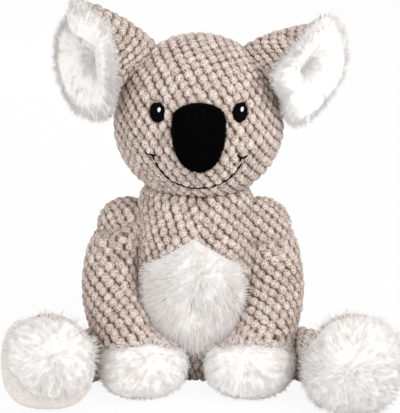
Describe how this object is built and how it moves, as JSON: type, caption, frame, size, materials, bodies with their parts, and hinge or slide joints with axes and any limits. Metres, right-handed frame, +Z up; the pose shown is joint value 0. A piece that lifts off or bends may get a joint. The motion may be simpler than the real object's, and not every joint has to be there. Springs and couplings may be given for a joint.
{
  "type": "sitting plush koala",
  "caption": "Sitting plush koala of beige bobble fabric, with white long-pile ears, belly, paws and feet, a stuffed black nose and an embroidered face.",
  "frame": {"origin": "on the ground, under the middle of the seat", "axes": "+X to the koala's left, +Y to its back, +Z up"},
  "size_m": [0.278, 0.169, 0.2732],
  "materials": {
    "bobble_fabric": "warm grey-beige bobble plush, matt",
    "white_pile": "long white faux-fur pile, soft sheen",
    "black_plush": "short black velvet plush, matt",
    "black_thread": "black embroidery thread",
    "white_thread": "white embroidery thread",
    "stuffing": "white polyester fibre"
  },
  "bodies": {
    "torso": {"torso_front": "bobble_fabric", "torso_back": "bobble_fabric", "torso_stuffing": "stuffing", "belly_fur": "white_pile", "closing_stitch": "black_thread"},
    "neck": {"neck_stuffing": "stuffing"},
    "head": {"head_front": "bobble_fabric", "head_back": "bobble_fabric", "head_stuffing": "stuffing", "nose_cover": "black_plush", "nose_stuffing": "stuffing", "mouth_thread": "black_thread", "eye_left": "black_thread", "eye_glint_left": "white_thread", "eye_right": "black_thread", "eye_glint_right": "white_thread"},
    "ear_left": {"ear_back_left": "bobble_fabric", "ear_fur_left": "white_pile"},
    "arm_left": {"arm_sleeve_left": "bobble_fabric", "arm_stuffing_left": "stuffing", "paw_fur_left": "white_pile"},
    "leg_left": {"leg_sleeve_left": "bobble_fabric", "leg_stuffing_left": "stuffing", "foot_fur_left": "white_pile"},
    "ear_right": {"ear_back_right": "bobble_fabric", "ear_fur_right": "white_pile"},
    "arm_right": {"arm_sleeve_right": "bobble_fabric", "arm_stuffing_right": "stuffing", "paw_fur_right": "white_pile"},
    "leg_right": {"leg_sleeve_right": "bobble_fabric", "leg_stuffing_right": "stuffing", "foot_fur_right": "white_pile"}
  },
  "joints": [
    {"name": "neck_turn", "type": "hinge", "parent": "torso", "child": "neck", "pos_m": [0.002, 0, 0.137], "axis": [0, 0, 1], "range_deg": [-30, 30], "stiffness_Nm_per_rad": 0.15},
    {"name": "head_nod", "type": "hinge", "parent": "neck", "child": "head", "pos_m": [0.002, 0, 0.137], "axis": [1, 0, 0], "range_deg": [-8, 8], "stiffness_Nm_per_rad": 0.6},
    {"name": "ear_left_fold", "type": "hinge", "parent": "head", "child": "ear_left", "pos_m": [0.0555, 0, 0.2322], "axis": [0, 0, 1], "range_deg": [-5, 25], "stiffness_Nm_per_rad": 0.05},
    {"name": "ear_right_fold", "type": "hinge", "parent": "head", "child": "ear_right", "pos_m": [-0.0515, 0, 0.2322], "axis": [0, 0, -1], "range_deg": [-5, 25], "stiffness_Nm_per_rad": 0.05},
    {"name": "shoulder_left", "type": "hinge", "parent": "torso", "child": "arm_left", "pos_m": [0.051, 0, 0.1115], "axis": [-1, 0, 0], "range_deg": [0, 70]},
    {"name": "shoulder_right", "type": "hinge", "parent": "torso", "child": "arm_right", "pos_m": [-0.054, 0, 0.1115], "axis": [-1, 0, 0], "range_deg": [0, 70]},
    {"name": "hip_left", "type": "hinge", "parent": "torso", "child": "leg_left", "pos_m": [0.0433, -0.003, 0.0175], "axis": [1, 0, 0], "range_deg": [0, 80]},
    {"name": "hip_right", "type": "hinge", "parent": "torso", "child": "leg_right", "pos_m": [-0.0433, -0.003, 0.0175], "axis": [1, 0, 0], "range_deg": [0, 80]}
  ]
}
